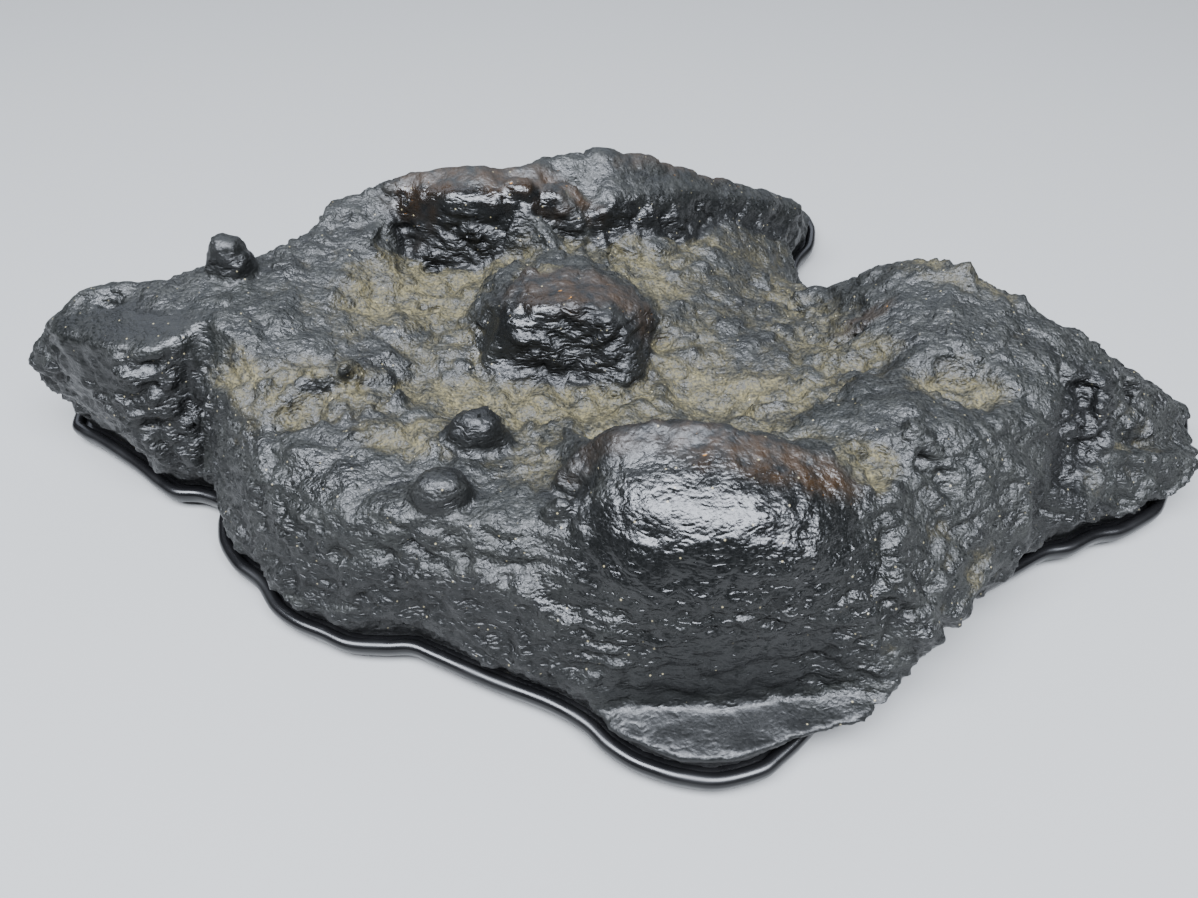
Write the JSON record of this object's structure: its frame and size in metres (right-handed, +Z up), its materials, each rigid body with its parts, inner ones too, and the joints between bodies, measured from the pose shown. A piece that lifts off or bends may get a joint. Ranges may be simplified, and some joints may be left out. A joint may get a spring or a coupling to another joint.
{
  "type": "viewing stone",
  "caption": "Low, rugged dark viewing stone with worn bosses around a dusty basin, resting in its thin black lacquered stand with a rounded rim and low feet, shown on a table or shelf.",
  "frame": {"origin": "On the floor under the feet of the stand, at the middle of the whole object's outline seen from above.", "axes": "+X along the stone's length to its low pointed end, +Y to its back, away from the tall worn boss at the front, +Z up."},
  "size_m": [0.415, 0.292, 0.0832],
  "materials": {
    "weathered_stone": "worn glossy on the bosses, rough and dusty tan in the hollows",
    "black_lacquered_wood": "gloss black lacquer"
  },
  "bodies": {
    "root": {"stone": "weathered_stone", "stand": "black_lacquered_wood"}
  },
  "joints": []
}
